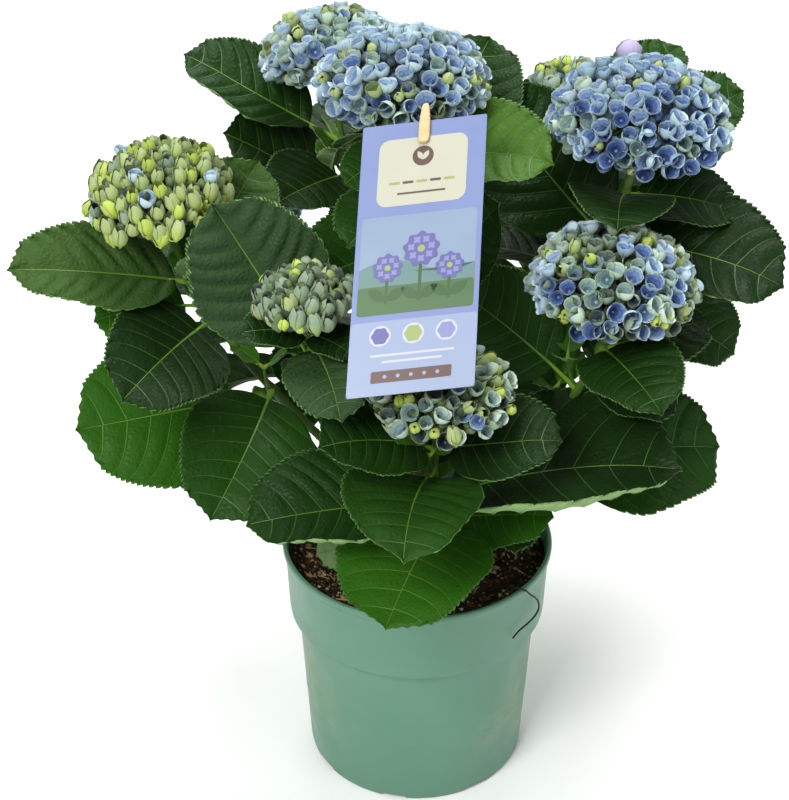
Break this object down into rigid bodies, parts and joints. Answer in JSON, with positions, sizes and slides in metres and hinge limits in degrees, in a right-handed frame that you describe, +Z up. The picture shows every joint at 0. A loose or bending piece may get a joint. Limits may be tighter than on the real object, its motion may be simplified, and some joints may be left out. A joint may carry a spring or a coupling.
{
  "type": "potted mophead hydrangea shrub",
  "caption": "Potted garden shrub with broad toothed leaves and domed blue and green flower heads, in a two-step teal nursery pot, with a blank-style hang card on a small peg.",
  "frame": {"origin": "centre of the pot's flat underside, where it stands on the floor", "axes": "+Z up along the pot's axis; -Y is the plant's front, where the hang card faces; +X to the right seen from the front"},
  "size_m": [0.4984, 0.4617, 0.5494],
  "materials": {
    "bough_back": "greenish-brown stem with darker patches",
    "bough_back_left": "greenish-brown stem with darker patches",
    "bough_back_right": "greenish-brown stem with darker patches",
    "bough_back_side": "greenish-brown stem with darker patches",
    "bough_front": "greenish-brown stem with darker patches",
    "bough_left": "greenish-brown stem with darker patches",
    "bough_left_bud": "greenish-brown stem with darker patches",
    "bough_low_back": "greenish-brown stem with darker patches",
    "bough_low_front": "greenish-brown stem with darker patches",
    "bough_low_left": "greenish-brown stem with darker patches",
    "bough_low_right": "greenish-brown stem with darker patches",
    "bough_right": "greenish-brown stem with darker patches",
    "bough_right_top": "greenish-brown stem with darker patches",
    "bough_top": "greenish-brown stem with darker patches",
    "bough_top_left": "greenish-brown stem with darker patches",
    "head_back": "blue flower head with pale rims; fabric stands in for petals",
    "head_back_left": "blue flower head with pale rims; fabric stands in for petals",
    "head_back_right": "young flower head, yellow-green buds with some blue; fabric stands in for petals",
    "head_back_side": "blue flower head with pale rims; fabric stands in for petals",
    "head_front": "blue flower head with pale rims; fabric stands in for petals",
    "head_left": "young flower head, yellow-green buds with some blue; fabric stands in for petals",
    "head_left_bud": "young flower head, yellow-green buds with some blue; fabric stands in for petals",
    "head_right": "blue flower head with pale rims; fabric stands in for petals",
    "head_right_top": "blue flower head with pale rims; fabric stands in for petals",
    "head_top": "blue flower head with pale rims; fabric stands in for petals",
    "head_top_left": "blue flower head with pale rims; fabric stands in for petals",
    "leaves_back": "dark green broad toothed leaves with pale veins; fabric stands in for living leaf",
    "leaves_back_left": "dark green broad toothed leaves with pale veins; fabric stands in for living leaf",
    "leaves_back_right": "dark green broad toothed leaves with pale veins; fabric stands in for living leaf",
    "leaves_back_side": "dark green broad toothed leaves with pale veins; fabric stands in for living leaf",
    "leaves_front": "dark green broad toothed leaves with pale veins; fabric stands in for living leaf",
    "leaves_left": "dark green broad toothed leaves with pale veins; fabric stands in for living leaf",
    "leaves_left_bud": "dark green broad toothed leaves with pale veins; fabric stands in for living leaf",
    "leaves_low_back": "dark green broad toothed leaves with pale veins; fabric stands in for living leaf",
    "leaves_low_front": "dark green broad toothed leaves with pale veins; fabric stands in for living leaf",
    "leaves_low_left": "dark green broad toothed leaves with pale veins; fabric stands in for living leaf",
    "leaves_low_right": "dark green broad toothed leaves with pale veins; fabric stands in for living leaf",
    "leaves_right": "dark green broad toothed leaves with pale veins; fabric stands in for living leaf",
    "leaves_right_top": "dark green broad toothed leaves with pale veins; fabric stands in for living leaf",
    "leaves_top": "dark green broad toothed leaves with pale veins; fabric stands in for living leaf",
    "leaves_top_left": "dark green broad toothed leaves with pale veins; fabric stands in for living leaf",
    "main_stem": "grey-brown woody foot",
    "pot": "satin muted teal-green polypropylene with faint soil smudges",
    "rim_wire": "thin dark stiff thread",
    "soil": "dark brown peat with straw and perlite bits; fabric stands in for loose peat",
    "tag_card": null,
    "tag_peg": "pale raw wood"
  },
  "bodies": {
    "root": {"bough_back": "bough_back", "bough_back_left": "bough_back_left", "bough_back_right": "bough_back_right", "bough_back_side": "bough_back_side", "bough_front": "bough_front", "bough_left": "bough_left", "bough_left_bud": "bough_left_bud", "bough_low_back": "bough_low_back", "bough_low_front": "bough_low_front", "bough_low_left": "bough_low_left", "bough_low_right": "bough_low_right", "bough_right": "bough_right", "bough_right_top": "bough_right_top", "bough_top": "bough_top", "bough_top_left": "bough_top_left", "head_back": "head_back", "head_back_left": "head_back_left", "head_back_right": "head_back_right", "head_back_side": "head_back_side", "head_front": "head_front", "head_left": "head_left", "head_left_bud": "head_left_bud", "head_right": "head_right", "head_right_top": "head_right_top", "head_top": "head_top", "head_top_left": "head_top_left", "leaves_back": "leaves_back", "leaves_back_left": "leaves_back_left", "leaves_back_right": "leaves_back_right", "leaves_back_side": "leaves_back_side", "leaves_front": "leaves_front", "leaves_left": "leaves_left", "leaves_left_bud": "leaves_left_bud", "leaves_low_back": "leaves_low_back", "leaves_low_front": "leaves_low_front", "leaves_low_left": "leaves_low_left", "leaves_low_right": "leaves_low_right", "leaves_right": "leaves_right", "leaves_right_top": "leaves_right_top", "leaves_top": "leaves_top", "leaves_top_left": "leaves_top_left", "main_stem": "main_stem", "pot": "pot", "rim_wire": "rim_wire", "soil": "soil", "tag_card": "tag_card", "tag_peg": "tag_peg"}
  },
  "joints": []
}
